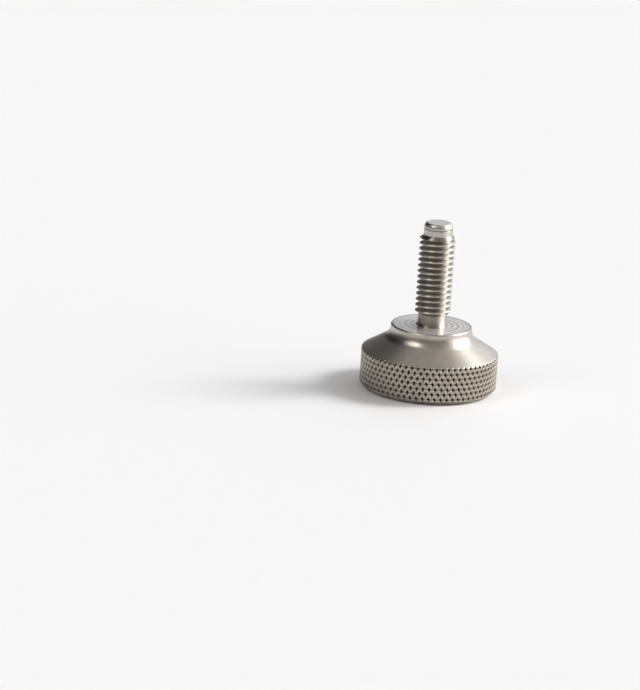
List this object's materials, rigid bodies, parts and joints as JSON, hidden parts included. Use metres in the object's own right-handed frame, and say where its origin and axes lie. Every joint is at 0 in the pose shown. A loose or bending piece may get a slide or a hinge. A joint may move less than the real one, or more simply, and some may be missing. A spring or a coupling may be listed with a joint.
{
  "type": "mounting knob",
  "caption": "Stainless knurled knob with a flat shoulder and a threaded stud, for clamping or hanging one panel on another by hand.",
  "frame": {"origin": "centre of the head's flat end, which is the face the knob stands on", "axes": "+Z along the axis, from the head towards the tip of the stud; +X and +Y are equal"},
  "size_m": [0.019, 0.019, 0.0236],
  "materials": {
    "stainless_steel": "turned and lightly polished stainless steel, with fine turning rings"
  },
  "bodies": {
    "root": {"knob": "stainless_steel"}
  },
  "joints": []
}
